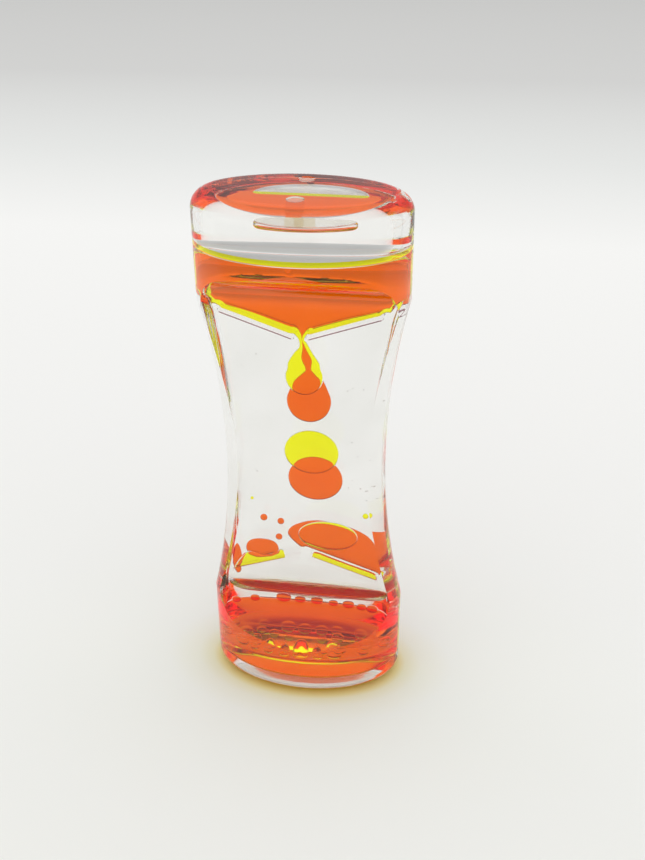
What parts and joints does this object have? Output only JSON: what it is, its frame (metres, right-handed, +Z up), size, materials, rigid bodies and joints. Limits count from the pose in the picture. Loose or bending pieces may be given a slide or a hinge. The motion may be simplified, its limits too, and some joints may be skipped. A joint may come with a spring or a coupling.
{
  "type": "liquid motion timer",
  "caption": "Clear waisted liquid motion timer with yellow and orange liquids that drip through funnels on both sides of a divider plate",
  "frame": {"origin": "middle of the base, on the surface the timer stands on", "axes": "+Z up along the timer's height, -Y towards the front with the yellow liquid, +X to the viewer's right"},
  "size_m": [0.0506, 0.031, 0.135],
  "materials": {
    "clear_casing": "clear polished acrylic",
    "clear_divider": "clear polished acrylic sheet",
    "clear_wings": "clear moulded acrylic",
    "plug_plastic": "pale moulded plug",
    "clear_oil": "clear mineral oil",
    "air": "trapped air",
    "yellow_liquid": "dyed yellow water",
    "orange_liquid": "dyed orange water"
  },
  "bodies": {
    "filled_casing": {"front_shell": "clear_casing", "rear_shell": "clear_casing", "divider_plate": "clear_divider", "front_fill_plug": "plug_plastic", "rear_fill_plug": "plug_plastic", "front_upper_left_wing": "clear_wings", "front_upper_right_wing": "clear_wings", "front_lower_left_wing": "clear_wings", "front_lower_right_wing": "clear_wings", "rear_upper_left_wing": "clear_wings", "rear_upper_right_wing": "clear_wings", "rear_lower_left_wing": "clear_wings", "rear_lower_right_wing": "clear_wings", "front_clear_oil": "clear_oil", "rear_clear_oil": "clear_oil", "front_air_bubble": "air", "rear_air_bubble": "air", "yellow_upper_pool": "yellow_liquid", "yellow_lower_pool": "yellow_liquid", "yellow_left_puddle": "yellow_liquid", "yellow_right_puddle": "yellow_liquid", "yellow_settled_beads": "yellow_liquid", "orange_upper_pool": "orange_liquid", "orange_lower_pool": "orange_liquid", "orange_right_mass": "orange_liquid", "orange_left_blob": "orange_liquid", "orange_side_blob": "orange_liquid", "orange_settled_beads": "orange_liquid"},
    "yellow_drop": {"yellow_falling_drop": "yellow_liquid"},
    "yellow_landing": {"yellow_landing_drop": "yellow_liquid"},
    "orange_drop": {"orange_falling_drop": "orange_liquid"},
    "yellow_satellites": {"yellow_satellite_drops": "yellow_liquid"},
    "orange_satellites": {"orange_satellite_drops": "orange_liquid"}
  },
  "joints": [
    {"name": "yellow_drop_fall", "type": "slide", "parent": "filled_casing", "child": "yellow_drop", "axis": [0, 0, 1], "range_m": [-0.0125, 0.0095], "deforming": ["front_clear_oil"]},
    {"name": "yellow_landing_fall", "type": "slide", "parent": "filled_casing", "child": "yellow_landing", "axis": [0, 0, 1], "range_m": [-0.001, 0.001]},
    {"name": "orange_drop_fall", "type": "slide", "parent": "filled_casing", "child": "orange_drop", "axis": [0, 0, 1], "range_m": [-0.006, 0.0095], "deforming": ["rear_clear_oil"]},
    {"name": "yellow_satellites_sink", "type": "slide", "parent": "filled_casing", "child": "yellow_satellites", "axis": [0, 0, 1], "range_m": [-0.012, 0.012]},
    {"name": "orange_satellites_sink", "type": "slide", "parent": "filled_casing", "child": "orange_satellites", "axis": [0, 0, 1], "range_m": [-0.0005, 0.015]}
  ]
}
